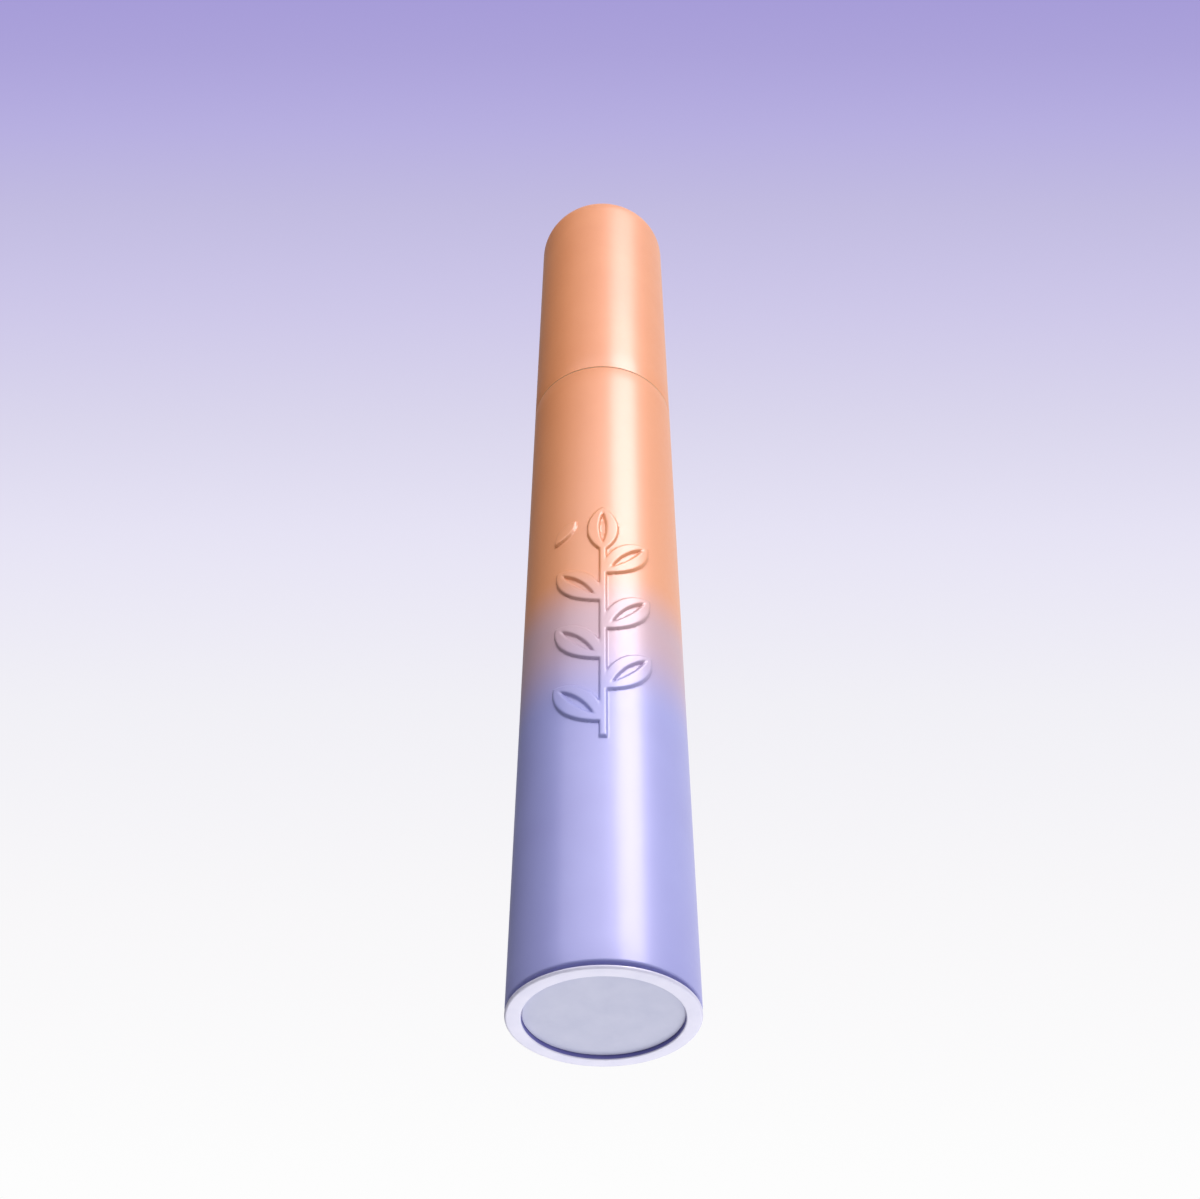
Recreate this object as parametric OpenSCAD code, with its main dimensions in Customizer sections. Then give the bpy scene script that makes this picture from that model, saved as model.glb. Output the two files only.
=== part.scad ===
// Mascara tube: a two-tone bottle with a quick-turn cap that carries a rod and a moulded brush.
// Stands on its base. Z runs up the axis of the tube, with Z = 0 on the table.
// The raised leaves face -Y. All sizes are in millimetres.

/* [Tube] */
// outside diameter of the bottle and of the cap
tube_d = 19; // [16:0.5:23]
// height of the bottle from the table to the mouth of the cap
bottle_h = 92.5; // [84:0.5:112]
// length of the cap
cap_h = 47.6; // [40:0.1:56]
// radius of the rounded top edge of the cap
top_round = 4.9; // [2:0.1:5]
// visible gap between the bottle and the cap
seam_gap = 0.12; // [0.08:0.01:0.3]

/* [Walls and fits] */
// wall of the outer shell
shell_wall = 1.2; // [1:0.05:1.4]
// wall of the inner vial
vial_wall = 1; // [0.7:0.05:1.2]
// wall of the cap shell
cap_wall = 0.6; // [0.5:0.05:0.9]
// wall of the inner cap
inner_cap_wall = 0.8; // [0.6:0.05:0.9]
// clearance between two pieces that are fixed together
fixed_fit = 0.1; // [0.05:0.01:0.15]
// clearance between the rod and the rings that it turns in
running_fit = 0.06; // [0.03:0.01:0.1]

/* [Base] */
// thickness of the rim of the base plug
rim_t = 0.3; // [0.3:0.05:0.8]
// rounding of the edge of the base rim
rim_round = 0.25; // [0.1:0.05:0.3]
// groove between the base rim and the outer shell
base_groove = 0.5; // [0.1:0.05:0.6]
// width of the flat base rim
rim_w = 1.6; // [1.5:0.1:2.5]
// depth of the recess inside the rim
recess_depth = 0.6; // [0.4:0.05:0.7]
// thickness of the base label
label_t = 0.14; // [0.1:0.02:0.38]
// gap round the base label
label_gap = 0.1; // [0.1:0.05:0.5]
// height of the plug inside the shell
plug_h = 2; // [1.5:0.1:4]

/* [Neck and closure] */
// height of the neck above the bottle
neck_h = 13.5; // [12:0.5:16]
// outside diameter of the neck
neck_d = 12.6; // [12:0.1:12.8]
// wall of the neck
neck_wall = 1.5; // [1.2:0.1:1.6]
// how far the closure ribs stand out of the neck
rib_out = 0.9; // [0.7:0.05:1]
// thickness of the closure ribs
rib_t = 1.6; // [1.2:0.1:2]
// distance from the top of the neck down to the top of the ribs
rib_drop = 3; // [2:0.5:4]
// angle that each of the two closure ribs covers
rib_angle = 130; // [120:1:135]
// angle that each of the two cap lugs covers
lug_angle = 36; // [24:1:40]
// gap between a lug and the rib above it
lug_gap = 0.12; // [0.08:0.01:0.2]
// thickness of the sealing washer
washer_t = 1; // [0.8:0.1:1.5]

/* [Applicator] */
// diameter of the rod
rod_d = 4.8; // [4.2:0.1:5]
// length of the rod below the mouth of the cap
rod_reach = 47; // [42:0.5:52]
// rounding of the shoulder at the end of the rod
rod_round = 0.9; // [0.5:0.1:1]
// length of the brush
brush_l = 27; // [22:0.5:29]
// diameter of the brush at the rod
brush_d = 8.6; // [7.5:0.1:8.8]
// diameter of the brush at the tip
brush_tip_d = 5.4; // [4.5:0.1:6]
// diameter of the core of the brush
core_d = 3; // [2.4:0.1:3.4]
// number of rings of bristles
bristle_rings = 24; // [16:1:26]
// number of bristles in one ring
bristles_round = 8; // [6:1:10]
// width of a bristle at its root
bristle_w = 0.7; // [0.5:0.05:0.8]
// thickness of a bristle along the rod
bristle_t = 0.45; // [0.3:0.05:0.6]

/* [Wiper and formula] */
// length of the wiper tube in the neck
wiper_l = 13; // [10:0.5:16]
// wall of the wiper
wiper_wall = 0.6; // [0.4:0.05:0.8]
// thickness of the flange of the wiper
wiper_flange_t = 0.8; // [0.6:0.1:1.2]
// height of the fill above the table
fill_top = 74; // [60:1:78]
// clearance of the channel that the brush leaves in the fill
channel_fit = 0.3; // [0.2:0.05:0.5]

/* [Relief] */
// how far the leaves stand out of the shell
relief_out = 0.35; // [0.2:0.05:0.5]
// number of leaves on the sides of the stem
leaf_count = 6; // [4:1:8]
// height of the root of the lowest leaf above the table
leaf_base = 29; // [28:0.5:36]
// distance up the stem from one leaf to the next
leaf_pitch = 4.5; // [4:0.1:6]
// length of a leaf
leaf_l = 8; // [5:0.1:9]
// width of a leaf
leaf_w = 3.8; // [2:0.1:4]
// lean of a leaf away from the stem, in degrees
leaf_lean = 42; // [36:1:60]
// width of the slot along the middle of a leaf
vein_w = 0.7; // [0.4:0.05:0.9]
// width of the stem
stem_w = 0.9; // [0.6:0.1:1.4]
// height above the table of the loose leaf beside the spray
loose_leaf_z = 58; // [50:0.5:66]
// azimuth of the loose leaf from the front, in degrees
loose_leaf_turn = -37; // [-60:1:-34]
// length of the loose leaf
loose_leaf_l = 4.4; // [2:0.1:6]
// width of the loose leaf
loose_leaf_w = 1.9; // [1:0.1:3]

/* [Hidden] */
$fn = 96;
eps = 0.01;

peach = [0.93, 0.64, 0.50];
lilac = [0.66, 0.66, 0.86];
pale = [0.90, 0.89, 0.94];
dark = [0.10, 0.06, 0.05];
black = [0.03, 0.03, 0.03];
milky = [0.85, 0.84, 0.82];

tube_r = tube_d / 2;
shell_r = tube_r - shell_wall;              // inside of the outer shell
shell_bottom = rim_t + base_groove;
plug_top = rim_t + plug_h;
recess_r = tube_r - rim_w;
plug_floor_top = recess_depth + 0.8;        // top of the floor of the plug, 0.8 thick
plug_r = shell_r - fixed_fit;
plug_wall = 1.2;
vial_r = shell_r - fixed_fit;
vial_bottom = plug_top + fixed_fit;
vial_roof_t = 1.4;
shoulder_t = 1.5;
shoulder_z = bottle_h - shoulder_t;         // underside of the shoulder of the shell
vial_top = shoulder_z - fixed_fit;
skin_gap = 0.02;                            // gap between pieces that touch in the real tube
rooted = 0.3;                               // depth of a rib or a lug inside the wall that it grows from
neck_r = neck_d / 2;
neck_bore_r = neck_r - neck_wall;
neck_top = bottle_h + neck_h;

cap_z = bottle_h + seam_gap;                // mouth of the cap
top_z = cap_z + cap_h;
cap_r = tube_r - cap_wall;                  // inside of the cap shell
cap_roof_t = cap_wall + 0.6;
liner_z = cap_z + 0.4;                      // mouth of the inner cap
liner_r = cap_r - fixed_fit / 2;
liner_bore_r = liner_r - inner_cap_wall;
rod_r = rod_d / 2;

washer_gap = 0.05;                          // clearance under and over the sealing washer
wiper_top = neck_top + wiper_flange_t;
washer_z = wiper_top + washer_gap;
washer_top = washer_z + washer_t;
ceiling_z = washer_top + washer_gap;        // underside of the roof of the inner cap
ceiling_t = 1.6;
head_r = rod_r + 1;                         // head of the rod, in the socket of the inner cap
head_l = 14;
head_gap = 0.1;                             // clearance of the head and of the spigot at the end of the hole
socket_r = head_r + fixed_fit / 2;
socket_wall = 1.4;
socket_roof_t = 1.2;

rib_top = neck_top - rib_drop;
rib_z = rib_top - rib_t;
lug_top = rib_z - lug_gap;
lug_t = 1.6;
lug_bore_r = neck_r + 0.2;

rod_end = cap_z - rod_reach;
tip_z = rod_end - brush_l;                  // lowest point of the brush
tip_r = 1.35;
core_top_r = core_d / 2;
spigot_r = rod_r - 1.2;
spigot_l = 8;
brush_fit = 0.03;                           // clearance between the core and the end of the rod
brush_gap = 0.5;                            // bare core between the rod and the first ring
ring_top = rod_end - brush_gap;
ring_bottom = tip_z + 2.2;
channel_r = brush_d / 2 + channel_fit;
fill_bottom_gap = 1;

// ---- Helpers ----

// A plain ring from z0 to z1.
module ring(r_out, r_in, z0, z1) {
    translate([0, 0, z0])
        difference() {
            cylinder(r = r_out, h = z1 - z0);
            translate([0, 0, -1]) cylinder(r = r_in, h = z1 - z0 + 2);
        }
}

// The part of the XY plane within half of angle each side of +X, drawn out to radius r.
module wedge(angle, r) {
    a = angle / 2;
    polygon([[0, 0], [r * cos(a), -r * sin(a)], [r * 1.5, -r * tan(a / 2)], [r * 1.5, r * tan(a / 2)],
             [r * cos(a), r * sin(a)]]);
}

// Two opposite sectors of a ring, centred on +X and -X.
module ring_sectors(r_out, r_in, z0, z1, angle) {
    for (side = [0, 180])
        intersection() {
            ring(r_out, r_in, z0, z1);
            rotate([0, 0, side])
                translate([0, 0, z0 - 1]) linear_extrude(z1 - z0 + 2) wedge(angle, 2 * r_out);
        }
}

// Radius of the brush at height z: splayed next to the rod and slimmer towards the tip.
function brush_r(z) = let (t = (ring_top - z) / (ring_top - ring_bottom))
    brush_tip_d / 2 + (brush_d - brush_tip_d) / 2 * pow(max(0, 1 - t), 1.25);

// Radius of the core of the brush at height z.
function core_r(z) = let (t = (rod_end - z) / brush_l) core_top_r + (tip_r - core_top_r) * t;

// A leaf with pointed ends, lying along +Y from the origin.
module leaf_outline(l, w) {
    r = (l * l / 4 + w * w / 4) / w;
    translate([0, l / 2])
        intersection() {
            translate([r - w / 2, 0]) circle(r = r);
            translate([w / 2 - r, 0]) circle(r = r);
        }
}

// A prism that runs out of the axis through the front of the shell, at height z and turned to azimuth a.
module on_front(z, a = 0) {
    rotate([0, 0, a]) translate([0, 0, z]) rotate([90, 0, 0])
        linear_extrude(tube_r + relief_out + 1) children();
}

// A leaf with a slot along its middle.
module leaf() {
    difference() {
        leaf_outline(leaf_l, leaf_w);
        translate([0, leaf_l * 0.22]) leaf_outline(leaf_l * 0.6, vein_w);
    }
}

// The outlines of the spray, cut through to the axis: a stem with leaves on alternate sides,
// and a loose leaf.
module relief_prisms() {
    stem_l = leaf_count * leaf_pitch + 2;
    on_front(leaf_base - 2) translate([-stem_w / 2, 0]) square([stem_w, stem_l]);
    for (i = [0 : leaf_count - 1])
        on_front(leaf_base + i * leaf_pitch) rotate([0, 0, (i % 2 == 0 ? 1 : -1) * leaf_lean]) leaf();
    on_front(leaf_base + leaf_count * leaf_pitch - 0.7) leaf();
    on_front(loose_leaf_z, loose_leaf_turn)
        rotate([0, 0, -leaf_lean]) leaf_outline(loose_leaf_l, loose_leaf_w);
}

// ---- Bottle ----

module outer_shell() {
    color(lilac)
        difference() {
            union() {
                translate([0, 0, shell_bottom]) cylinder(r = tube_r, h = bottle_h - shell_bottom);
                intersection() {
                    translate([0, 0, shell_bottom + 1])
                        cylinder(r = tube_r + relief_out, h = bottle_h - shell_bottom - 2);
                    relief_prisms();
                }
            }
            translate([0, 0, shell_bottom - 1]) cylinder(r = shell_r, h = shoulder_z - shell_bottom + 1);
            translate([0, 0, shoulder_z - 1]) cylinder(r = neck_r + fixed_fit, h = shoulder_t + 2);
        }
}

module base_plug() {
    color(pale)
        difference() {
            union() {
                rotate_extrude()
                    difference() {
                        square([tube_r, rim_t]);
                        translate([tube_r - rim_round, 0])
                            difference() {
                                translate([0, -1]) square([1 + rim_round, 1 + rim_round]);
                                translate([0, rim_round]) circle(r = rim_round);
                            }
                    }
                translate([0, 0, rim_t]) cylinder(r = plug_r, h = plug_h);
            }
            translate([0, 0, -1]) cylinder(r = recess_r, h = recess_depth + 1);
            translate([0, 0, plug_floor_top]) cylinder(r = plug_r - plug_wall, h = plug_h);
        }
}

module base_label() {
    color(lilac)
        translate([0, 0, recess_depth - label_t]) cylinder(r = recess_r - label_gap, h = label_t);
}

module inner_vial() {
    color(milky)
        difference() {
            union() {
                translate([0, 0, vial_bottom]) cylinder(r = vial_r, h = vial_top - vial_bottom);
                translate([0, 0, vial_top - eps]) cylinder(r = neck_r, h = neck_top - vial_top + eps);
                ring_sectors(neck_r + rib_out, neck_r - rooted, rib_z, rib_top, rib_angle);
            }
            translate([0, 0, vial_bottom + vial_wall])
                cylinder(r = vial_r - vial_wall, h = vial_top - vial_bottom - vial_wall - vial_roof_t);
            translate([0, 0, vial_top - 2 * vial_roof_t])
                cylinder(r = neck_bore_r, h = neck_top - vial_top + 3 * vial_roof_t);
        }
}

module wiper() {
    tube_or = neck_bore_r - fixed_fit / 2;
    tube_ir = tube_or - wiper_wall;
    lip_r = rod_r + running_fit;
    lip_t = 0.5;
    cone_h = 3;
    flange_r = neck_r - 0.3;
    flange_z = neck_top + skin_gap;
    bottom = neck_top - wiper_l;
    color(black)
        rotate_extrude()
            polygon([[tube_or, flange_z], [tube_or, bottom + cone_h], [lip_r + lip_t, bottom],
                     [lip_r, bottom], [lip_r, bottom + 0.6], [tube_ir, bottom + cone_h + 0.2],
                     [tube_ir, wiper_top], [flange_r, wiper_top], [flange_r, flange_z]]);
}

module mascara_formula() {
    fill_r = vial_r - vial_wall - skin_gap;
    fill_z = vial_bottom + vial_wall + skin_gap;
    color(black)
        difference() {
            translate([0, 0, fill_z]) cylinder(r = fill_r, h = fill_top - fill_z);
            translate([0, 0, tip_z - fill_bottom_gap]) cylinder(r = channel_r, h = fill_top);
        }
}

// ---- Cap and applicator ----

module cap_shell() {
    color(peach)
        difference() {
            rounded_post(tube_r, cap_z, top_z, top_round);
            rounded_post(cap_r, cap_z - 1, top_z - cap_roof_t, top_round - cap_wall);
        }
}

// A post from z0 to z1 with its top edge rounded.
module rounded_post(r, z0, z1, edge) {
    rotate_extrude()
        union() {
            translate([0, z0]) square([r, z1 - z0 - edge]);
            translate([0, z0]) square([r - edge, z1 - z0]);
            intersection() {
                translate([r - edge, z1 - edge]) circle(r = edge);
                translate([0, z1 - edge - eps]) square([r, edge + eps]);
            }
        }
}

module inner_cap() {
    color(dark)
        difference() {
            union() {
                ring(liner_r, liner_bore_r, liner_z, ceiling_z + ceiling_t);
                translate([0, 0, ceiling_z]) cylinder(r = liner_bore_r + eps, h = ceiling_t);
                translate([0, 0, ceiling_z]) cylinder(r = socket_r + socket_wall, h = head_l + socket_roof_t);
                ring_sectors(liner_bore_r + rooted, lug_bore_r, lug_top - lug_t, lug_top, lug_angle);
            }
            translate([0, 0, ceiling_z - 1]) cylinder(r = socket_r, h = head_l + 1 + fixed_fit / 2);
        }
}

module seal_washer() {
    rim_clear = 0.4;
    color(dark) ring(neck_r - rim_clear, rod_r + running_fit, washer_z, washer_top);
}

module rod() {
    color(black)
        difference() {
            union() {
                rotate_extrude()
                    union() {
                        translate([0, rod_end + rod_round])
                            square([rod_r, ceiling_z + head_gap - rod_end - rod_round]);
                        translate([0, rod_end]) square([rod_r - rod_round, rod_round + 1]);
                        translate([rod_r - rod_round, rod_end + rod_round]) circle(r = rod_round);
                    }
                translate([0, 0, ceiling_z + head_gap]) cylinder(r = head_r, h = head_l - head_gap);
            }
            translate([0, 0, rod_end - 1]) cylinder(r = spigot_r + skin_gap, h = spigot_l + 1 + head_gap);
        }
}

// A flat star whose points taper from the core out to the ends of the bristles, with its first
// point at angle a.
module bristle_ring(z, a) {
    step = 360 / bristles_round;
    root_r = core_r(z) - rooted;
    end_r = brush_r(z);
    root_a = atan(bristle_w / 2 / root_r);
    end_a = atan(bristle_w / 5 / end_r);
    translate([0, 0, z - bristle_t / 2])
        linear_extrude(bristle_t)
            polygon([for (j = [0 : bristles_round - 1], p = [[root_r, -root_a], [end_r, -end_a],
                                                             [end_r, end_a], [root_r, root_a]])
                let (t = a + j * step + p[1]) [p[0] * cos(t), p[0] * sin(t)]]);
}

module brush() {
    pitch = (ring_top - ring_bottom) / (bristle_rings - 1);
    color(black)
        union() {
            rotate_extrude()
                union() {
                    polygon([[0, tip_z + tip_r], [tip_r, tip_z + tip_r], [core_top_r, rod_end - brush_fit],
                             [spigot_r, rod_end - brush_fit], [spigot_r, rod_end + spigot_l],
                             [0, rod_end + spigot_l]]);
                    intersection() {
                        translate([0, tip_z + tip_r]) circle(r = tip_r);
                        translate([0, tip_z]) square([tip_r, tip_r + eps]);
                    }
                }
            for (i = [0 : bristle_rings - 1])
                bristle_ring(ring_top - i * pitch, (i % 2) * 180 / bristles_round);
        }
}

outer_shell();
base_plug();
base_label();
inner_vial();
wiper();
mascara_formula();
cap_shell();
inner_cap();
seal_washer();
rod();
brush();
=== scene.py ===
"""Looks of the mascara tube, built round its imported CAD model.

Metres, Z up, with the middle of the base of the tube at the origin and the raised leaves towards -Y.
"""

import math
import random

import bmesh
import bpy
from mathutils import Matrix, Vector


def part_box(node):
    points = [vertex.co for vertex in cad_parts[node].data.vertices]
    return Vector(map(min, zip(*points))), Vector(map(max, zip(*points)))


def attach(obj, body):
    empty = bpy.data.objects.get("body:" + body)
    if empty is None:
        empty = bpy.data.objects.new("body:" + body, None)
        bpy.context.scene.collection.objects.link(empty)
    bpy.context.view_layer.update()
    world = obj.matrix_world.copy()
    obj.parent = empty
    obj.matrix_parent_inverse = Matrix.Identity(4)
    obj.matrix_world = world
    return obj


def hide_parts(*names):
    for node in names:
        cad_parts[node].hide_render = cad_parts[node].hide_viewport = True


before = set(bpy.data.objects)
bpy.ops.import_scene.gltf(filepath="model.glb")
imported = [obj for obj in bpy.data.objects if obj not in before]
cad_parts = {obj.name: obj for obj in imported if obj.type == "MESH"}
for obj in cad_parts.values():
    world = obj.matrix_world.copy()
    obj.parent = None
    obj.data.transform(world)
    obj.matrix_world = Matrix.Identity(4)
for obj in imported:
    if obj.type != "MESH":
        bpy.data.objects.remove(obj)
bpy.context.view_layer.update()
random.seed(7)

MM = 0.001

# ---- Sizes from the frame, in metres ----

TUBE_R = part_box("base_plug")[1].x
SHELL_LOW, SHELL_HIGH = (corner.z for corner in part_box("outer_shell"))
CAP_LOW, CAP_HIGH = (corner.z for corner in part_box("cap_shell"))
PLUG_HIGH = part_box("base_plug")[1].z
ROD_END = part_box("rod")[0].z
TIP_Z, SPIGOT_TOP = (corner.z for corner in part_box("brush"))
RELIEF_OUT = -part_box("outer_shell")[0].y - TUBE_R


# ---- Colour and node helpers ----

def srgb(r, g, b):
    """A colour given as 0 to 255 screen values, as the linear colour that a shader takes."""
    def linear(c):
        c /= 255
        return c / 12.92 if c <= 0.04045 else ((c + 0.055) / 1.055) ** 2.4
    return (linear(r), linear(g), linear(b), 1.0)


class Graph:
    """A new material with its shader, and short ways to add and link nodes."""

    def __init__(self, name, **sockets):
        self.material = bpy.data.materials.new(name)
        self.material.use_nodes = True
        self.tree = self.material.node_tree
        self.shader = self.tree.nodes["Principled BSDF"]
        for socket, value in sockets.items():
            self.shader.inputs[socket.replace("_", " ")].default_value = value
        self.place = self.add("ShaderNodeTexCoord").outputs["Object"]

    def add(self, kind, inputs=None, **settings):
        """Adds a node. inputs gives a socket to link or a value to set, for each input named."""
        node = self.tree.nodes.new(kind)
        for key, value in settings.items():
            setattr(node, key, value)
        for key, value in (inputs or {}).items():
            if isinstance(value, bpy.types.NodeSocket):
                self.tree.links.new(value, node.inputs[key])
            else:
                node.inputs[key].default_value = value
        return node

    def noise(self, size, detail=3.0, stretch=(1, 1, 1), rough=0.5):
        """Noise with features of about size metres, from 0 to 1, stretched along the object's axes."""
        mapping = self.add("ShaderNodeMapping", {"Vector": self.place, "Scale": stretch})
        inputs = {"Vector": mapping.outputs["Vector"], "Scale": 1 / size, "Detail": detail,
                  "Roughness": rough}
        return self.add("ShaderNodeTexNoise", inputs).outputs["Fac"]

    def spread(self, value, low, high, start=0.3, end=0.7, smooth=False):
        """Maps value from start to end onto low to high. The defaults suit noise, which seldom
        leaves 0.3 to 0.7."""
        inputs = {"Value": value, "From Min": start, "From Max": end, "To Min": low, "To Max": high}
        kind = "SMOOTHSTEP" if smooth else "LINEAR"
        return self.add("ShaderNodeMapRange", inputs, interpolation_type=kind).outputs["Result"]

    def mix(self, factor, one, other):
        """Blends two colours, from one at factor 0 to other at factor 1."""
        node = self.add("ShaderNodeMix", data_type="RGBA")
        for index, value in ((0, factor), (6, one), (7, other)):
            if isinstance(value, bpy.types.NodeSocket):
                self.tree.links.new(value, node.inputs[index])
            else:
                node.inputs[index].default_value = value
        return node.outputs[2]

    def bump(self, height, depth):
        """Bumps of depth metres from a height between 0 and 1."""
        inputs = {"Height": height, "Strength": 1.0, "Distance": depth}
        return self.add("ShaderNodeBump", inputs).outputs["Normal"]

    def finish(self, color, roughness=None, normal=None):
        """Links what is given to the shader and returns the material."""
        for name, value in (("Base Color", color), ("Roughness", roughness), ("Normal", normal)):
            if value is not None:
                self.tree.links.new(value, self.shader.inputs[name])
        return self.material


# ---- Materials ----

PEACH = srgb(230, 148, 96)
PEACH_WARM = srgb(226, 143, 91)
PEACH_LOW = srgb(229, 154, 109)
LILAC = srgb(158, 161, 220)
LILAC_WARM = srgb(154, 156, 215)
FADE_BOTTOM, FADE_MIDDLE, FADE_TOP = 31.5 * MM, 44 * MM, 53.2 * MM
FADE_COLOR = srgb(195, 162, 172)


def satin_shell(name, two_tone):
    """Soft-touch moulded shell: fine grain, slight mottling, and on the bottle a fade from peach
    down to lilac."""
    g = Graph(name, Specular_IOR_Level=0.5, Coat_Weight=0.15, Coat_Roughness=0.2)
    mottle = g.spread(g.noise(9 * MM, 2), 0, 1)
    color = g.mix(mottle, PEACH, PEACH_WARM)
    if two_tone:
        height = g.add("ShaderNodeSeparateXYZ", {"Vector": g.place}).outputs["Z"]
        lower = g.spread(height, 0, 1, FADE_BOTTOM, FADE_MIDDLE, smooth=True)
        upper = g.spread(height, 0, 1, FADE_MIDDLE, FADE_TOP, smooth=True)
        paler = g.spread(height, 0, 1, FADE_TOP, SHELL_HIGH)
        color = g.mix(upper, g.mix(lower, g.mix(mottle, LILAC, LILAC_WARM), FADE_COLOR),
                      g.mix(paler, PEACH_LOW, color))
    grain = g.noise(0.09 * MM, 3, rough=0.6)
    roughness = g.spread(g.noise(0.6 * MM, 3), 0.38, 0.44)
    return g.finish(color, roughness, g.bump(grain, 0.0022 * MM))


def moulded_plastic(name, color, tint, rough, grain=0.12 * MM, depth=0.002 * MM, **sockets):
    """Moulded plastic with faint flow marks and a fine skin. rough is the range of its roughness."""
    g = Graph(name, **sockets)
    flow = g.spread(g.noise(3 * MM, 4, stretch=(1, 1, 0.3)), 0, 1)
    roughness = g.spread(g.noise(0.5 * MM, 4), rough[0], rough[1])
    return g.finish(g.mix(flow, color, tint), roughness, g.bump(g.noise(grain, 3), depth))


def paste(name):
    """Thick wet mascara, with soft ridges."""
    g = Graph(name, Specular_IOR_Level=0.6, Coat_Weight=0.6, Coat_Roughness=0.08)
    lumps = g.noise(1.2 * MM, 5)
    # Painted shade and light: darker in the troughs and lighter on the ridges of the same lumps that the
    # bump raises.
    color = g.mix(g.spread(lumps, 0, 1), srgb(14, 12, 13), srgb(28, 23, 24))
    return g.finish(color, g.spread(g.noise(0.4 * MM), 0.18, 0.4), g.bump(lumps, 0.25 * MM))


def foam(name):
    """Closed-cell foam with fine pores."""
    g = Graph(name, Specular_IOR_Level=0.1)
    cells = g.add("ShaderNodeTexVoronoi", {"Vector": g.place, "Scale": 1 / (0.18 * MM)})
    pores = cells.outputs["Distance"]
    # Painted shade: the pores are darker at their middles, where the bump sinks them deepest.
    color = g.mix(g.spread(pores, 0, 1, 0.0, 0.5), srgb(17, 15, 14), srgb(30, 26, 25))
    return g.finish(color, g.spread(pores, 0.7, 0.9, 0, 1), g.bump(pores, 0.02 * MM))


def use(node, material):
    """Gives a carried-over CAD node its material."""
    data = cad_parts[node].data
    data.materials.clear()
    data.materials.append(material)


# ---- Mesh helpers ----

def make_piece(name, verts, faces, material, node, body, sharp):
    """A smooth mesh piece that stands for a CAD node: rides on its body and takes the material given.
    Edges that bend by more than sharp degrees stay sharp."""
    mesh = bpy.data.meshes.new(name)
    mesh.from_pydata(verts, [], faces)
    work = bmesh.new()
    work.from_mesh(mesh)
    bmesh.ops.recalc_face_normals(work, faces=work.faces)
    work.to_mesh(mesh)
    work.free()
    mesh.shade_smooth()
    mesh.set_sharp_from_angle(angle=math.radians(sharp))
    mesh.materials.append(material)
    piece = bpy.data.objects.new(name, mesh)
    bpy.context.collection.objects.link(piece)
    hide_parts(node)
    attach(piece, body)
    return piece


def arc(r, z, radius, start, end, steps):
    """Points (radius, height) along an arc about (r, z), from start to end in degrees."""
    turns = [math.radians(start + (end - start) * i / steps) for i in range(steps + 1)]
    return [(r + radius * math.cos(t), z + radius * math.sin(t)) for t in turns]


def even(start, end, step):
    """Values from start to end in equal steps of about step."""
    count = max(1, round(abs(end - start) / step))
    return [start + (end - start) * i / count for i in range(count + 1)]


def lathe(outline, azimuths=tuple(even(0, 360, 2)[:-1]), lift=None):
    """Turns a closed outline of (radius, height) points round Z. Azimuths are in degrees from the
    front (-Y). lift(azimuth, radius, height) gives how far a point is pushed outwards."""
    verts, rings, faces = [], [], []
    for r, z in outline:
        first = len(verts)
        if r < 1e-9:
            verts.append((0, 0, z))
            rings.append([first] * len(azimuths))
            continue
        for azimuth in azimuths:
            out = r + (lift(azimuth, r, z) if lift else 0)
            turn = math.radians(azimuth)
            verts.append((out * math.sin(turn), -out * math.cos(turn), z))
        rings.append(range(first, len(verts)))
    for ring, following in zip(rings, rings[1:] + rings[:1]):
        for j in range(len(azimuths)):
            k = (j + 1) % len(azimuths)
            face = list(dict.fromkeys((ring[j], ring[k], following[k], following[j])))
            if len(face) > 2:
                faces.append(face)
    return verts, faces


# ---- Raised leaves on the bottle ----
# The sizes are those of the spray in part.scad. Each outline is a signed distance in the plane of u
# (sideways) and v (up), and angles are in degrees.

LEAF_COUNT, LEAF_BASE, LEAF_PITCH = 6, 29 * MM, 4.5 * MM
LEAF_L, LEAF_W, LEAF_LEAN = 8 * MM, 3.8 * MM, 42
VEIN_START, VEIN_L, VEIN_W = 0.22 * LEAF_L, 0.6 * LEAF_L, 0.7 * MM     # the slot along each leaf
STEM_W, STEM_TAIL = 0.9 * MM, 2 * MM        # the tail of the stem hangs below the first leaf
TOP_LEAF_DROP = 0.7 * MM                    # the last leaf starts this far below the end of the stem
LOOSE_Z, LOOSE_TURN, LOOSE_L, LOOSE_W = 58 * MM, -37, 4.4 * MM, 1.9 * MM     # the loose leaf
RELIEF_EDGE = 0.26 * MM     # width of the rounding round each leaf
RELIEF_GRID = 0.13 * MM     # spacing of the mesh where the leaves are
RELIEF_LOW, RELIEF_HIGH = LEAF_BASE - 3 * MM, 65.5 * MM     # heights that the fine mesh runs between
RELIEF_LEFT, RELIEF_RIGHT = -47, 38                         # azimuths that it runs between, in degrees


def leaf_outline(u, v, length, width):
    """Distance from the edge of a pointed leaf that stands on the origin, negative inside it."""
    r = (length ** 2 + width ** 2) / (4 * width)
    return max(math.hypot(u - side * (r - width / 2), v - length / 2) - r for side in (-1, 1))


def turn_point(u, v, degrees):
    """The point (u, v) turned about the origin."""
    turn = math.radians(degrees)
    return u * math.cos(turn) - v * math.sin(turn), u * math.sin(turn) + v * math.cos(turn)


def leaf(u, v, root, lean):
    """Distance from the edge of a leaf with a slot along its middle, which leans by lean degrees."""
    u, v = turn_point(u, v - root, -lean)
    return max(leaf_outline(u, v, LEAF_L, LEAF_W),
               -leaf_outline(u, v - VEIN_START, VEIN_L, VEIN_W))


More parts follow.
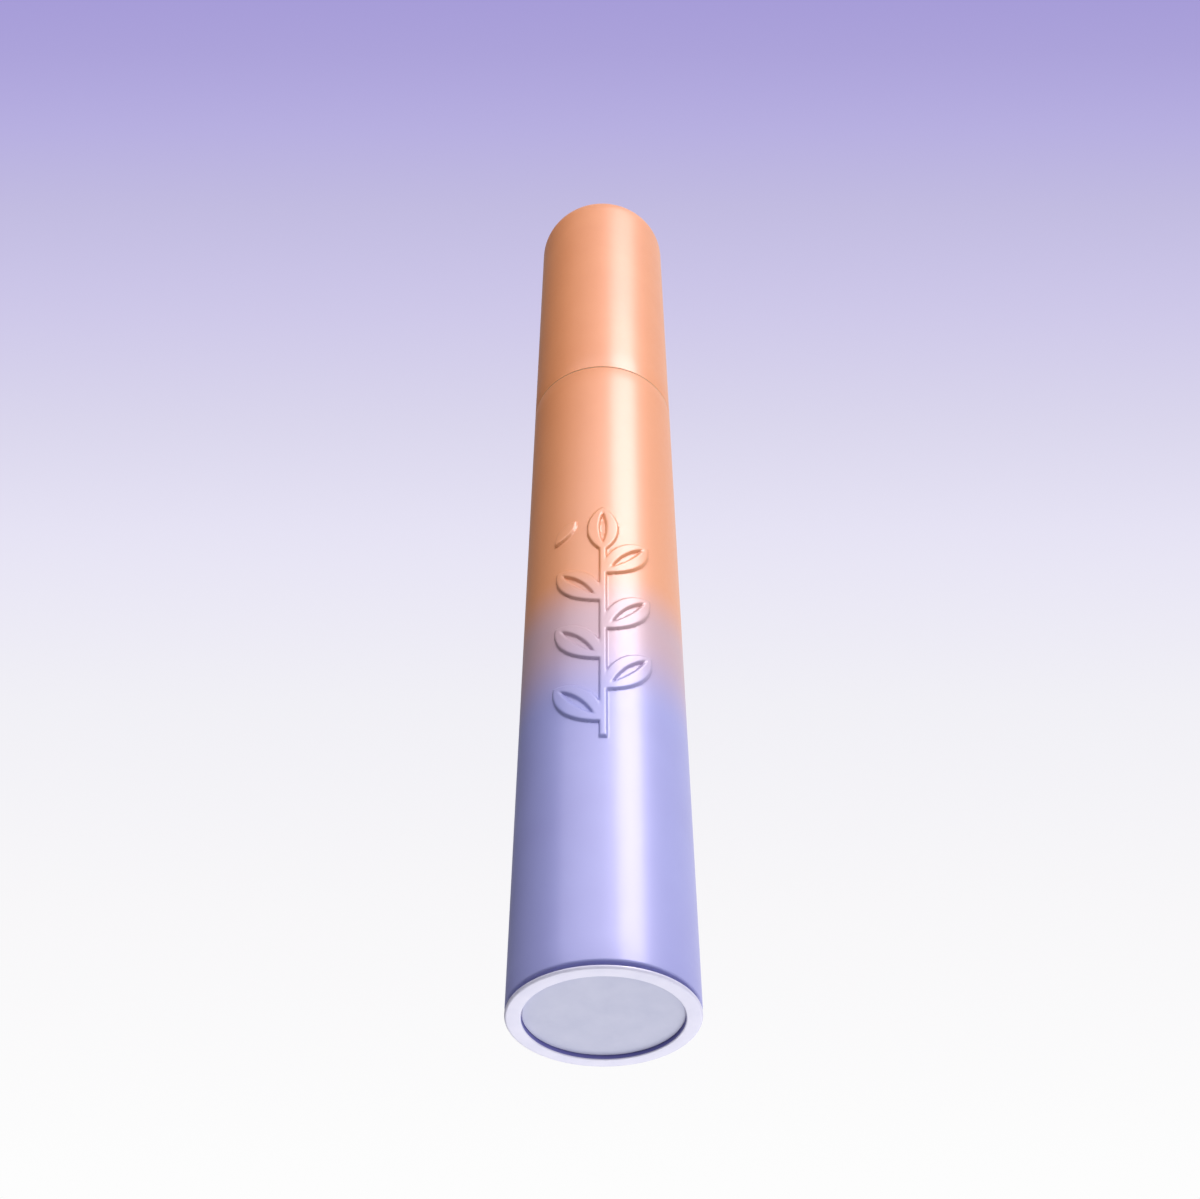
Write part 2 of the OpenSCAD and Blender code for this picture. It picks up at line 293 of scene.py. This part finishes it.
def spray(u, v):
    """Distance from the edge of the stem and its leaves."""
    top = LEAF_BASE + LEAF_COUNT * LEAF_PITCH
    stem = max(abs(u) - STEM_W / 2, LEAF_BASE - STEM_TAIL - v, v - top)
    leaves = [leaf(u, v, LEAF_BASE + i * LEAF_PITCH, -LEAF_LEAN if i % 2 else LEAF_LEAN)
              for i in range(LEAF_COUNT)]
    return min(stem, leaf(u, v, top - TOP_LEAF_DROP, 0), *leaves)


def loose_leaf(u, v):
    """Distance from the edge of the small leaf beside the spray."""
    u, v = turn_point(u, v - LOOSE_Z, LEAF_LEAN)
    return leaf_outline(u, v, LOOSE_L, LOOSE_W)


def relief(azimuth, r, z):
    """How far the surface of the bottle stands out: flat-topped leaves with rounded edges."""
    on_side = r > TUBE_R - 1e-6 and RELIEF_LOW < z < RELIEF_HIGH
    if not on_side or not RELIEF_LEFT <= azimuth <= RELIEF_RIGHT:
        return 0
    inside = -min(spray(TUBE_R * math.sin(math.radians(azimuth)), z),
                  loose_leaf(TUBE_R * math.sin(math.radians(azimuth - LOOSE_TURN)), z))
    rise = min(max(inside / RELIEF_EDGE, 0), 1)
    return RELIEF_OUT * math.sqrt(1 - (1 - rise) ** 2)


# ---- Pieces with their own mesh ----

def make_bottle_shell(material):
    """The outer shell, with softened ends and raised leaves."""
    wall, shoulder, neck_hole = 1.2 * MM, 1.5 * MM, 6.4 * MM
    soft_low, soft_high = 0.2 * MM, 0.07 * MM
    inner = TUBE_R - wall
    coarse, coarse_turn = 2.5 * MM, 2.2
    heights = (even(SHELL_LOW + soft_low, RELIEF_LOW, coarse)[1:-1]
               + even(RELIEF_LOW, RELIEF_HIGH, RELIEF_GRID)
               + even(RELIEF_HIGH, SHELL_HIGH - soft_high, coarse)[1:-1])
    outline = (arc(inner + soft_low, SHELL_LOW + soft_low, soft_low, 180, 270, 3)
               + arc(TUBE_R - soft_low, SHELL_LOW + soft_low, soft_low, 270, 360, 4)
               + [(TUBE_R, z) for z in heights]
               + arc(TUBE_R - soft_high, SHELL_HIGH - soft_high, soft_high, 0, 90, 4)
               + [(neck_hole, SHELL_HIGH), (neck_hole, SHELL_HIGH - shoulder),
                  (inner, SHELL_HIGH - shoulder)])
    fine = math.degrees(RELIEF_GRID / TUBE_R)
    azimuths = (even(RELIEF_LEFT, RELIEF_RIGHT, fine)
                + even(RELIEF_RIGHT, RELIEF_LEFT + 360, coarse_turn)[1:-1])
    azimuths = [a - 360 if a > 180 else a for a in azimuths]
    verts, faces = lathe(outline, azimuths, relief)
    return make_piece("bottle_shell", verts, faces, material, "outer_shell", "bottle",
                      50)


def make_cap(material, uncoated):
    """The cap shell, with a rounded top edge and a softened mouth. Its inside is bare plastic with
    no coating."""
    wall, roof, edge, soft = 0.6 * MM, 1.2 * MM, 4.9 * MM, 0.1 * MM
    inner, inner_edge = TUBE_R - wall, edge - wall
    ceiling = CAP_HIGH - roof
    middle = 2.5 * MM       # radius of the middle part of the flat top, and of the ceiling
    outline = (arc(inner + soft, CAP_LOW + soft, soft, 180, 270, 3)
               + arc(TUBE_R - soft, CAP_LOW + soft, soft, 270, 360, 4)
               + [(TUBE_R, z) for z in even(CAP_LOW + soft, CAP_HIGH - edge, 4 * MM)[1:-1]]
               + arc(TUBE_R - edge, CAP_HIGH - edge, edge, 0, 90, 16)
               + [(middle, CAP_HIGH), (0, CAP_HIGH), (0, ceiling), (middle, ceiling)]
               + arc(inner - inner_edge, ceiling - inner_edge, inner_edge, 90, 0, 12))
    verts, faces = lathe(outline)
    piece = make_piece("cap_body", verts, faces, material, "cap_shell", "applicator", 50)
    piece.data.materials.append(uncoated)
    # The inside is the faces that look towards the axis or down.
    for face in piece.data.polygons:
        outward = (face.normal.x * face.center.x + face.normal.y * face.center.y) / TUBE_R
        face.material_index = int(outward < -0.05 or face.normal.z < -0.7)
    return piece


def make_base(material, shade_material):
    """The base plug: a rim with rounded edges round a shallow recess, and a hollow stub inside the shell.
    The wall of the recess and the stub are painted dark lilac as painted shade for the recess and for the
    groove above the rim."""
    rim_t, rim_round, recess_r, recess = 0.3 * MM, 0.26 * MM, TUBE_R - 1.6 * MM, 0.6 * MM
    stub_r, stub_wall, floor_top, lip = TUBE_R - 1.3 * MM, 1.2 * MM, 1.4 * MM, 0.16 * MM
    outline = ([(0, recess), (recess_r * 0.6, recess), (recess_r, recess)]
               + arc(recess_r + lip, lip, lip, 180, 270, 8)
               + arc(TUBE_R - rim_round, rim_round, rim_round, 270, 360, 8)
               + [(TUBE_R, rim_t), (stub_r, rim_t), (stub_r, PLUG_HIGH), (stub_r - stub_wall, PLUG_HIGH),
                  (stub_r - stub_wall, floor_top), (0, floor_top)])
    verts, faces = lathe(outline)
    piece = make_piece("base_rim", verts, faces, material, "base_plug", "bottle", 40)
    piece.data.materials.append(shade_material)
    # The upright faces inside the rounded edge of the rim, which are the recess wall and the stub, take
    # the dark lilac painted shade.
    for face in piece.data.polygons:
        off_axis = math.hypot(face.center.x, face.center.y)
        face.material_index = int(abs(face.normal.z) < 0.3 and off_axis < TUBE_R - rim_round)
    return piece


# ---- Brush ----

CORE_TOP_R, CORE_TIP_R, SPIGOT_R = 1.5 * MM, 1.35 * MM, 1.2 * MM
BRISTLE_TOP, BRISTLE_LOW = ROD_END - 0.5 * MM, TIP_Z + 2.2 * MM
BRISTLE_PITCH, BRISTLE_ROWS = 1.0 * MM, 12
BRUSH_TOP_R, BRUSH_LOW_R = 4.3 * MM, 2.7 * MM
BRISTLE_SIDES, BRISTLE_STEPS = 5, 5
ROOT_LEAN, END_LEAN = 0.35, 1.25            # lean at the root and the end, as shares of the nominal one
ROOT_THICK, END_THICK = 1.25, 0.45          # thickness there, as shares of the nominal one
BRISTLE_ROOT = 0.25 * MM                    # depth of the root of a bristle in the core
BRISTLE_THICK = 0.36 * MM
# Height, turn and lean of each half of a pair of rings, from the middle of the pair.
PAIR_OFFSET, PAIR_TURN, PAIR_LEAN = 0.16 * MM, 3, 5
SPLAY = {0: 34, 1: 18, 2: 4}                # upward lean of the first rings, in degrees
DROOP = -10                                 # lean of all the others
LEAN_JITTER, TURN_JITTER = 4, 2.5           # random part of the lean and the turn, in degrees
REACH = (0.9, 0.985)                        # random share of the brush radius that a bristle reaches


def core_radius(z):
    """Radius of the core at height z."""
    return CORE_TIP_R + (CORE_TOP_R - CORE_TIP_R) * (z - TIP_Z) / (ROD_END - TIP_Z)


def brush_radius(z):
    """Radius of the brush at height z: splayed next to the rod and slimmer towards the tip."""
    near_rod = max(0.0, (z - BRISTLE_LOW) / (BRISTLE_TOP - BRISTLE_LOW))
    return BRUSH_LOW_R + (BRUSH_TOP_R - BRUSH_LOW_R) * near_rod ** 1.25


def bristle(verts, faces, z, azimuth, lean, reach):
    """Adds a tapered bristle that grows from the core at height z and leans up by lean degrees,
    less at its root and more at its end."""
    turn = math.radians(azimuth)
    out = Vector((math.cos(turn), math.sin(turn), 0))
    side = Vector((-math.sin(turn), math.cos(turn), 0))
    at = out * (core_radius(z) - BRISTLE_ROOT) + Vector((0, 0, z))
    step = (reach - core_radius(z) + BRISTLE_ROOT) / BRISTLE_STEPS
    first = len(verts)
    for i in range(BRISTLE_STEPS + 1):
        share = i / BRISTLE_STEPS
        slope = math.radians(lean * (ROOT_LEAN + (END_LEAN - ROOT_LEAN) * share))
        along = (out * math.cos(slope) + Vector((0, 0, math.sin(slope)))).normalized()
        across = side.cross(along)
        radius = BRISTLE_THICK / 2 * (ROOT_THICK + (END_THICK - ROOT_THICK) * share ** 0.8)
        for j in range(BRISTLE_SIDES):
            a = 2 * math.pi * j / BRISTLE_SIDES
            verts.append(at + (side * math.cos(a) + across * math.sin(a)) * radius)
        at = at + along * step
    verts.append(at - along * step * 0.6)
    for i in range(BRISTLE_STEPS):
        for j in range(BRISTLE_SIDES):
            k = (j + 1) % BRISTLE_SIDES
            low, high = first + i * BRISTLE_SIDES, first + (i + 1) * BRISTLE_SIDES
            faces.append((low + j, low + k, high + k, high + j))
    end = first + BRISTLE_STEPS * BRISTLE_SIDES
    faces.append(tuple(reversed(range(first, first + BRISTLE_SIDES))))
    for j in range(BRISTLE_SIDES):
        faces.append((end + j, end + (j + 1) % BRISTLE_SIDES, len(verts) - 1))


def make_brush(material):
    """The moulded brush: a tapered core with a domed tip, and pairs of rings of tapered bristles."""
    core_top = ROD_END - 0.03 * MM      # the clearance is brush_fit in part.scad
    outline = ([(0, SPIGOT_TOP), (0, TIP_Z)] + arc(0, TIP_Z + CORE_TIP_R, CORE_TIP_R, -90, 0, 8)[1:]
               + [(CORE_TOP_R, core_top), (SPIGOT_R, core_top), (SPIGOT_R, SPIGOT_TOP)])
    verts, faces = lathe(outline, tuple(even(0, 360, 7.5)[:-1]))
    heights = even(BRISTLE_TOP, BRISTLE_LOW, BRISTLE_PITCH)
    for i, z in enumerate(heights):
        splay = SPLAY.get(i, DROOP)
        for row in range(BRISTLE_ROWS):
            azimuth = (row + 0.5 * (i % 2)) * 360 / BRISTLE_ROWS
            for pair in (-1, 1):
                height = z + pair * PAIR_OFFSET
                if height < BRISTLE_LOW:
                    continue
                lean = splay + pair * PAIR_LEAN + random.uniform(-LEAN_JITTER, LEAN_JITTER)
                middle_lean = math.radians(lean * (ROOT_LEAN + END_LEAN) / 2)
                reach = brush_radius(z) / math.cos(middle_lean) * random.uniform(*REACH)
                turn = azimuth + pair * PAIR_TURN + random.uniform(-TURN_JITTER, TURN_JITTER)
                bristle(verts, faces, height, turn, lean, reach)
    return make_piece("bristle_brush", verts, faces, material, "brush", "applicator",
                      50)


# ---- Materials on the pieces ----

shell_material = satin_shell("two_tone_satin", True)
cap_material = satin_shell("peach_satin", False)
rim_material = moulded_plastic("pale_plastic", srgb(222, 220, 240), srgb(212, 211, 234), (0.3, 0.34))
# Dark lilac painted shade for the wall of the recess and the stub in the groove.
painted_shade_material = moulded_plastic("lilac_painted_shade", srgb(118, 116, 186), srgb(110, 108, 180), (0.4, 0.5))
label_material = moulded_plastic("label_face", srgb(190, 192, 216), srgb(181, 184, 210), (0.45, 0.55),
                                 grain=0.06 * MM, depth=0.003 * MM)
vial_material = moulded_plastic("natural_plastic", srgb(225, 222, 216), srgb(210, 207, 202), (0.3, 0.42),
                                Subsurface_Weight=0.3, Subsurface_Radius=(0.002, 0.0018, 0.0015))
liner_material = moulded_plastic("dark_liner", srgb(36, 22, 15), srgb(24, 14, 10), (0.25, 0.36),
                                 Specular_IOR_Level=0.05)
rod_material = moulded_plastic("black_gloss", srgb(9, 8, 8), srgb(14, 11, 10), (0.08, 0.13),
                               grain=0.5 * MM, depth=0.003 * MM,
                               Specular_IOR_Level=0.07, Coat_Weight=0.04, Coat_Roughness=0.04)
bare_material = moulded_plastic("bare_cream", srgb(232, 214, 178), srgb(222, 202, 166), (0.3, 0.4))
brush_material = moulded_plastic("brush_elastomer", srgb(8, 7, 8), srgb(13, 12, 13), (0.35, 0.5),
                                 Specular_IOR_Level=0.14)
wiper_material = moulded_plastic("soft_wiper", srgb(22, 21, 22), srgb(34, 32, 33), (0.45, 0.6))

for node, material in {
    "outer_shell": shell_material, "cap_shell": cap_material, "base_plug": rim_material,
    "base_label": label_material, "inner_vial": vial_material, "inner_cap": liner_material,
    "rod": rod_material, "brush": brush_material, "wiper": wiper_material,
    "mascara_formula": paste("mascara_paste"), "seal_washer": foam("washer_foam"),
}.items():
    use(node, material)

make_bottle_shell(shell_material)
make_cap(cap_material, bare_material)
make_base(rim_material, painted_shade_material)
make_brush(brush_material)


# ---- Stage: floor, sky and lights ----

# The camera, fitted to the outline of the tube, the ellipse of its base and the seam in the photograph.
CAMERA_AT = Vector((0.0, -0.12388, -0.06763))
CAMERA_TARGET = Vector((-0.00035, 0.0, 0.0569))
LENS = 42.55                    # in mm, on a sensor 36 mm wide
LIGHT_TARGET = Vector((0, 0, 0.07))
FILL = (0.22, 1.25)             # strength of the sky at the left and at the right, on matt surfaces
FILL_BELOW = 0.3                # share of that strength from straight below
GLOSS = (0.0, 1.0)              # strength of the sky at the left and at the right, in reflections
# The colours of the sky, by the angle up from the middle of the photograph's view, in degrees.
SKY_STOPS = [(-22, (253, 253, 253)), (-12, (248, 247, 249)), (-4, (241, 240, 246)),
             (2.4, (231, 228, 245)), (7.2, (218, 214, 237)), (11.9, (205, 199, 233)),
             (15.7, (193, 187, 225)), (18.7, (182, 174, 225)), (20.8, (173, 164, 219)),
             (23.5, (165, 155, 216)), (100, (165, 155, 216)), (170, (253, 253, 253))]
# The directions, sideways and upwards, between which the strength goes from one value to the other.
SKY_EDGES, SKY_HEIGHTS = (-0.75, 0.45), (-0.9, 0.2)
FILL_COLOR = (250, 248, 252)
PINK_WHITE = (1.0, 0.9, 1.0)


def make_floor():
    """A pale floor under the tube. It shows only from above, because the photograph looks up past
    it."""
    mesh = bpy.data.meshes.new("floor")
    half, low = 3.0, -0.3 * MM
    corners = [(-half, -half, low), (half, -half, low), (half, half, low), (-half, half, low)]
    mesh.from_pydata(corners, [], [(0, 1, 2, 3)])
    floor = bpy.data.objects.new("floor", mesh)
    bpy.context.collection.objects.link(floor)
    g = Graph("pale_floor", Roughness=0.6)
    color = g.mix(g.spread(g.noise(0.08, 3), 0, 1), srgb(244, 243, 249), srgb(240, 239, 247))
    g.finish(color)
    side = g.add("ShaderNodeNewGeometry").outputs["Backfacing"]
    clear = g.add("ShaderNodeBsdfTransparent").outputs["BSDF"]
    both = g.add("ShaderNodeMixShader", {0: side, 1: g.shader.outputs["BSDF"], 2: clear})
    output = g.tree.nodes["Material Output"]
    g.tree.links.new(both.outputs["Shader"], output.inputs["Surface"])
    mesh.materials.append(g.material)
    floor.visible_diffuse = False
    floor.visible_glossy = False
    floor.visible_transmission = False
    floor.visible_shadow = False


def make_sky(view_up, view_forward):
    """Backdrop and fill light: white low in the photograph's view, lilac high in it, and darker to
    the left."""
    world = bpy.data.worlds.new("backdrop")
    bpy.context.scene.world = world
    world.use_nodes = True
    tree = world.node_tree

    def add(kind, *inputs, **settings):
        node = tree.nodes.new(kind)
        for key, value in settings.items():
            setattr(node, key, value)
        for socket, value in zip(node.inputs, inputs):
            if isinstance(value, bpy.types.NodeSocket):
                tree.links.new(value, socket)
            else:
                socket.default_value = value
        return node

    direction = add("ShaderNodeTexCoord").outputs["Generated"]
    rise = add("ShaderNodeVectorMath", direction, view_up, operation="DOT_PRODUCT").outputs["Value"]
    ahead = add("ShaderNodeVectorMath", direction, view_forward, operation="DOT_PRODUCT").outputs["Value"]
    angle = add("ShaderNodeMath", rise, ahead, operation="ARCTAN2").outputs[0]
    turn = add("ShaderNodeMapRange", angle, -math.pi, math.pi, 0.0, 1.0).outputs[0]
    ramp = add("ShaderNodeValToRGB", turn)
    elements = ramp.color_ramp.elements
    elements.remove(elements[1])
    elements[0].color = srgb(*SKY_STOPS[0][1])
    for degrees, color in SKY_STOPS:
        elements.new(degrees / 360 + 0.5).color = srgb(*color)
    parts = add("ShaderNodeSeparateXYZ", direction).outputs
    across, height = parts["X"], parts["Z"]
    rays = add("ShaderNodeLightPath")

    def grade(value, start, end, low, high, kind="SMOOTHSTEP"):
        return add("ShaderNodeMapRange", value, start, end, low, high, interpolation_type=kind).outputs[0]

    fill = grade(across, *SKY_EDGES, *FILL)
    above = grade(height, *SKY_HEIGHTS, FILL_BELOW, 1.0)
    fill = add("ShaderNodeMath", fill, above, operation="MULTIPLY").outputs[0]
    gloss = grade(across, *SKY_EDGES, *GLOSS)
    unseen = grade(rays.outputs["Is Glossy Ray"], 0.0, 1.0, fill, gloss, "LINEAR")
    strength = grade(rays.outputs["Is Camera Ray"], 0.0, 1.0, unseen, 1.0, "LINEAR")
    color = add("ShaderNodeMix", data_type="RGBA")
    for index, value in ((0, rays.outputs["Is Camera Ray"]), (7, ramp.outputs["Color"])):
        tree.links.new(value, color.inputs[index])
    color.inputs[6].default_value = srgb(*FILL_COLOR)
    tree.links.new(color.outputs[2], tree.nodes["Background"].inputs["Color"])
    tree.links.new(strength, tree.nodes["Background"].inputs["Strength"])


def soft_light(name, towards, distance, width, height, watts, color=(1, 1, 1), glossy=True, diffuse=True):
    """An area light at distance from the middle of the tube in the direction towards, facing it.
    It may light matt surfaces only, or show only in reflections."""
    data = bpy.data.lights.new(name, "AREA")
    data.shape = "RECTANGLE"
    data.size, data.size_y, data.energy, data.color = width, height, watts, color
    light = bpy.data.objects.new(name, data)
    bpy.context.collection.objects.link(light)
    light.visible_glossy, light.visible_diffuse = glossy, diffuse
    light.location = LIGHT_TARGET + Vector(towards).normalized() * distance
    light.rotation_euler = (LIGHT_TARGET - light.location).to_track_quat("-Z", "Y").to_euler()


def make_camera():
    """The camera of the photograph. Returns its up and forward directions."""
    data = bpy.data.cameras.new("camera")
    data.lens, data.sensor_width = LENS, 36.0
    data.clip_start, data.clip_end = 0.005, 20
    camera = bpy.data.objects.new("camera", data)
    bpy.context.collection.objects.link(camera)
    camera.location = CAMERA_AT
    camera.rotation_euler = (CAMERA_TARGET - CAMERA_AT).to_track_quat("-Z", "Y").to_euler()
    bpy.context.scene.camera = camera
    turned = camera.rotation_euler.to_quaternion()
    return turned @ Vector((0, 1, 0)), turned @ Vector((0, 0, -1))


make_floor()
make_sky(*make_camera())
soft_light("front", (-0.12, -0.8, 0.35), 0.8, 1.0, 0.8, 4.0, glossy=False)
soft_light("key", (0.0, -0.85, 0.53), 0.8, 1.6, 0.65, 10.6, PINK_WHITE, diffuse=False)
soft_light("strip", (0.47, -0.70, 0.55), 0.75, 0.36, 0.66, 9.0, PINK_WHITE, diffuse=False)
soft_light("below", (0.1, 0.55, -0.83), 0.5, 0.6, 0.6, 2.3)
bpy.context.scene.view_settings.view_transform = "Standard"
